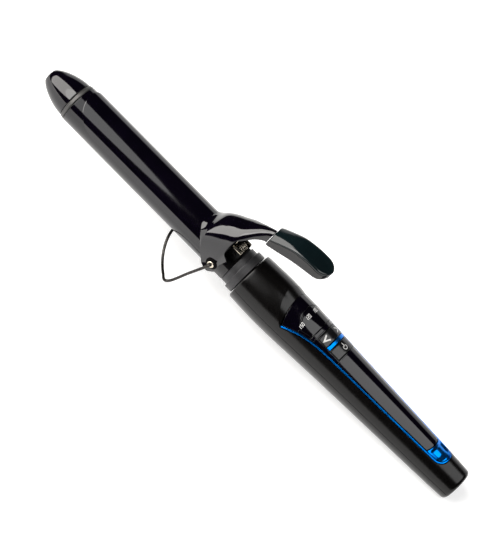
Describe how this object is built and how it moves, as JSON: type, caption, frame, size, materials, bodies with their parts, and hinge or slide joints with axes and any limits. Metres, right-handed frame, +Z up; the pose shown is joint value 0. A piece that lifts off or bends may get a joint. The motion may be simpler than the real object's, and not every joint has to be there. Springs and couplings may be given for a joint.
{
  "type": "curling iron",
  "caption": "Hair curling iron with a heated barrel, sprung clamp with thumb rest, folding wire stand, keys on a tapered handle and a turning lead inlet.",
  "frame": {"origin": "centre of the bounding box at the table the iron rests on", "axes": "+X along the iron towards the tip, +Z up, +Y to the left of the clamp seen from the tail; the iron lies on its stand with the tip raised 5.8 degrees"},
  "size_m": [0.3374, 0.0482, 0.0766],
  "materials": {
    "gloss_black_metal": "high gloss black enamel",
    "gloss_black_barrel": "drawn tube, high gloss black enamel",
    "gloss_black_plastic": "high gloss",
    "satin_black": "satin heat-proof plastic",
    "soft_black": "soft-touch matt",
    "teal_black": "gloss, blue-green tint",
    "metallic_blue": "metallic lacquer",
    "gunmetal": "darkened spring wire",
    "nickel": "nickel plate",
    "aluminium": "extruded",
    "ceramic": "sintered",
    "key_grey": "fine satin",
    "smoked_lens": "smoked, polished",
    "board": "solder mask",
    "dark_plastic": "moulded",
    "lead_insulation": "silicone sleeve"
  },
  "bodies": {
    "handle": {"barrel_tube": "gloss_black_barrel", "tip_ring": "satin_black", "tip_cap": "gloss_black_plastic", "heater_holder_upper": "aluminium", "heater_holder_lower": "aluminium", "ceramic_heater": "ceramic", "thermostat_sensor": "dark_plastic", "heater_lead_left": "lead_insulation", "heater_lead_right": "lead_insulation", "neck": "satin_black", "collar_ring": "satin_black", "spring_bracket": "nickel", "spring_pin": "nickel", "clamp_spring": "nickel", "pivot_washer_left": "dark_plastic", "pivot_eyelet_left": "nickel", "pivot_washer_right": "dark_plastic", "pivot_eyelet_right": "nickel", "upper_shell": "soft_black", "lower_shell": "soft_black", "shell_screw_rear": "gunmetal", "shell_screw_front": "gunmetal", "control_panel": "gloss_black_plastic", "display_window": "smoked_lens", "tail_inlay": "metallic_blue", "trim_rail": "metallic_blue", "indicator_bar": "metallic_blue", "circuit_board": "board", "tact_switch_up": "dark_plastic", "tact_switch_down": "dark_plastic", "tact_switch_power": "dark_plastic", "display_module": "dark_plastic", "terminal_block": "dark_plastic", "swivel_retainer": "dark_plastic"},
    "clamp": {"clamp_plate": "gloss_black_metal", "clamp_lever": "gloss_black_metal", "thumb_base": "gloss_black_plastic", "thumb_pad": "teal_black", "thumb_screw": "nickel"},
    "stand": {"stand_wire": "gunmetal"},
    "rocker": {"temperature_rocker": "key_grey"},
    "power": {"power_key": "key_grey"},
    "cord_swivel": {"swivel_sleeve": "satin_black"}
  },
  "joints": [
    {"name": "clamp_hinge", "type": "hinge", "parent": "handle", "child": "clamp", "pos_m": [0.0231, 0, 0.03087], "axis": [0, -1, 0], "range_deg": [0, 25], "stiffness_Nm_per_rad": 0.5, "springref_deg": -28.65, "deforming": ["clamp_spring"]},
    {"name": "stand_hinge", "type": "hinge", "parent": "handle", "child": "stand", "pos_m": [0.0231, 0, 0.03087], "axis": [0, 1, 0], "range_deg": [0, 118]},
    {"name": "rocker_tilt", "type": "hinge", "parent": "handle", "child": "rocker", "pos_m": [-0.0555, 0, 0.03441], "axis": [0.995, 0, 0.1002], "range_deg": [-3.5, 3.5], "stiffness_Nm_per_rad": 0.15},
    {"name": "power_press", "type": "slide", "parent": "handle", "child": "power", "axis": [0.1002, 0, -0.995], "range_m": [0, 0.0005], "stiffness_N_per_m": 1500},
    {"name": "swivel_turn", "type": "hinge", "parent": "handle", "child": "cord_swivel", "pos_m": [-0.16286, 0, 0.01114], "axis": [0.995, 0, 0.1002], "continuous": true}
  ]
}
